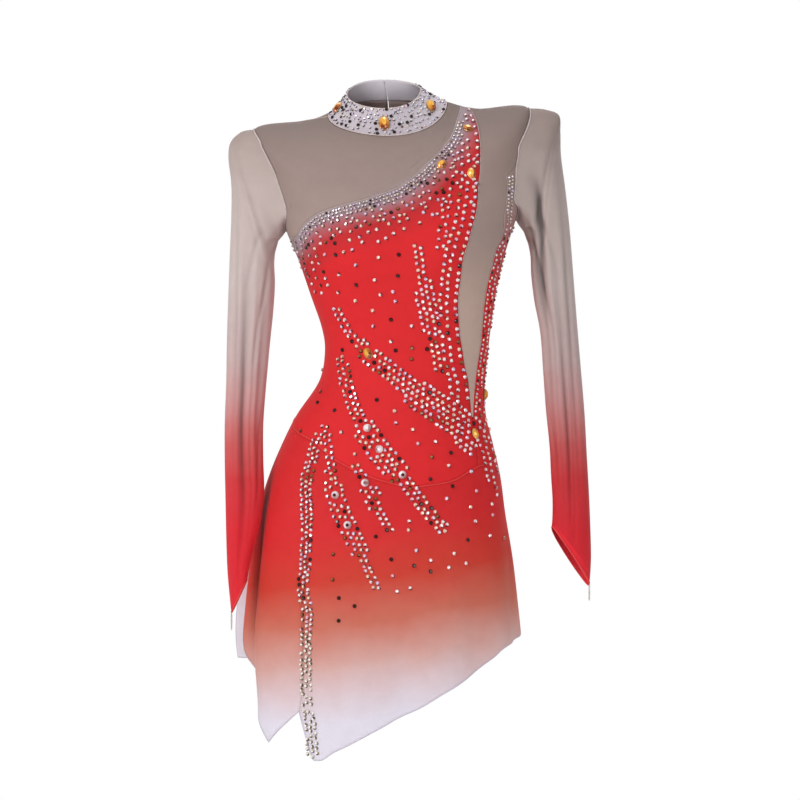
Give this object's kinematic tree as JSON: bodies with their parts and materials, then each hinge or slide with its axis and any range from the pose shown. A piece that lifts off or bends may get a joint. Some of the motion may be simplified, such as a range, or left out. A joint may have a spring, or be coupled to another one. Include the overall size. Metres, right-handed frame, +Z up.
{
  "type": "figure skating dress",
  "caption": "Long-sleeved figure skating dress with a high collar, mesh yoke and slash, pointed cuffs, a slanted two-point skirt and attached briefs",
  "frame": {"origin": "the middle of the neck where the collar joins the dress, the mount neck_and_shoulders", "axes": "+Z up along the height of the dress, -Y the way the wearer faces, +X to the wearer's left"},
  "size_m": [0.4961, 0.2528, 0.9215],
  "materials": {
    "red_stretch": "red four-way stretch cloth with a soft sheen",
    "nude_mesh": "fine nude stretch mesh",
    "sleeve_mesh": "fine stretch mesh, dyed from nude to red at the cuffs",
    "back_cloth": "stretch cloth, dyed from nude to red",
    "skirt_cloth": "soft stretch cloth, dyed from red to pale lavender at the hem",
    "collar_cloth": "pale lavender stretch cloth set with small stones",
    "briefs_cloth": "red stretch cloth",
    "amber_stone": "polished amber-coloured glass stone",
    "clear_stone": "faceted clear glass stone",
    "clear_elastic": "clear elastic cord"
  },
  "bodies": {
    "root": {"collar": "collar_cloth", "yoke_front": "nude_mesh", "bodice_front": "red_stretch", "slash_front": "nude_mesh", "bodice_side": "red_stretch", "back_right": "back_cloth", "back_left": "back_cloth", "skirt_side": "skirt_cloth", "skirt_front": "skirt_cloth", "skirt_back": "skirt_cloth", "sleeve_right": "sleeve_mesh", "sleeve_left": "sleeve_mesh", "briefs_front": "briefs_cloth", "briefs_back": "briefs_cloth", "amber_collar_1": "amber_stone", "amber_collar_2": "amber_stone", "amber_collar_3": "amber_stone", "amber_body_1": "amber_stone", "amber_body_2": "amber_stone", "amber_body_3": "amber_stone", "amber_body_4": "amber_stone", "amber_body_5": "amber_stone", "amber_body_6": "amber_stone", "clear_stone_1": "clear_stone", "clear_stone_2": "clear_stone", "clear_stone_3": "clear_stone", "clear_stone_4": "clear_stone", "clear_stone_5": "clear_stone", "clear_stone_6": "clear_stone", "finger_loop_right": "clear_elastic", "finger_loop_left": "clear_elastic"}
  },
  "joints": []
}
